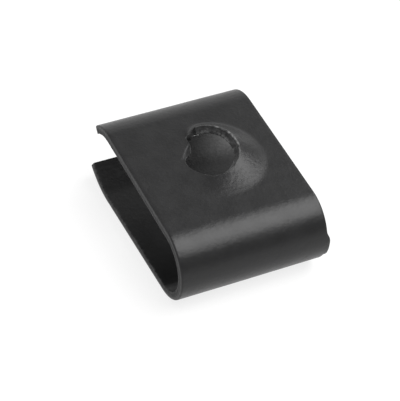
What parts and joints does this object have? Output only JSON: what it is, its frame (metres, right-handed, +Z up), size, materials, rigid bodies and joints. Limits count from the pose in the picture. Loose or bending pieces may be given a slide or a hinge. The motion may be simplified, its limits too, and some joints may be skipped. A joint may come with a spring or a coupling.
{
  "type": "u clip speed nut",
  "caption": "U-shaped spring-steel clip that slides over a panel's edge, with a pressed screw-thread impression in the upper leaf and a clearance hole in the lower.",
  "frame": {"origin": "on the screw's axis, in the plane of the lower leaf's outer face", "axes": "+Z up through both leaves, from the clearance hole to the thread impression; +Y out of the mouth, away from the fold; +X along the fold"},
  "size_m": [0.013, 0.0175, 0.0081],
  "materials": {
    "spring_steel": "black phosphate, lightly oiled"
  },
  "bodies": {
    "root": {"u_clip": "spring_steel"}
  },
  "joints": []
}
